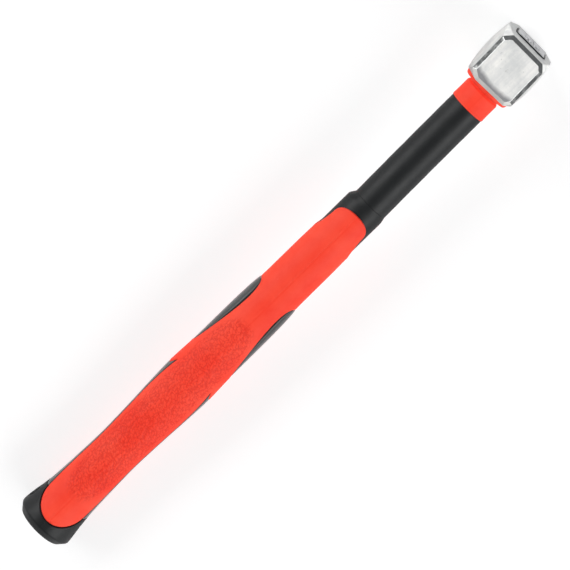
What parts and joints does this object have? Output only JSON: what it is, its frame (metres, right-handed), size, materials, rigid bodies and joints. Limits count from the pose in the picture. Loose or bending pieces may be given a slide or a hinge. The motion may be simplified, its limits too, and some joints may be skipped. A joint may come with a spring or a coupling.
{
  "type": "sledge hammer",
  "caption": "Short-handled sledge hammer: steel head with flat octagonal faces, locking plate, oval black and red rubber grip over a steel rod core, flared butt with lanyard hole.",
  "frame": {"origin": "centre of the lower striking face", "axes": "+Z is the striking direction reversed, from the lower striking face to the upper one; +X runs up the handle and out through the top of the head, along the object's longest extent; +Y runs across the handle, along its shortest extent"},
  "size_m": [0.61, 0.055, 0.12],
  "materials": {
    "forged_steel": "ground faces, satin",
    "plate_steel": "satin",
    "rod_steel": "satin",
    "black_rubber": "satin",
    "red_rubber": "satin, pebbled over the hand area",
    "nylon": "matte"
  },
  "bodies": {
    "root": {"head": "forged_steel", "lock_plate": "plate_steel", "plate_seal": "black_rubber", "eye_filler": "black_rubber", "shoulder_plate": "plate_steel", "core_rod_1": "rod_steel", "core_rod_2": "rod_steel", "core_rod_3": "rod_steel", "core_rod_4": "rod_steel", "core_rod_5": "rod_steel", "core_rod_6": "rod_steel", "rod_spacer_upper": "nylon", "rod_spacer_middle": "nylon", "rod_spacer_lower": "nylon", "rod_end_plate": "plate_steel", "handle_core": "nylon", "head_collar": "red_rubber", "shaft_sleeve": "black_rubber", "grip_base": "black_rubber", "grip_skin": "red_rubber", "butt_cap": "black_rubber"}
  },
  "joints": []
}
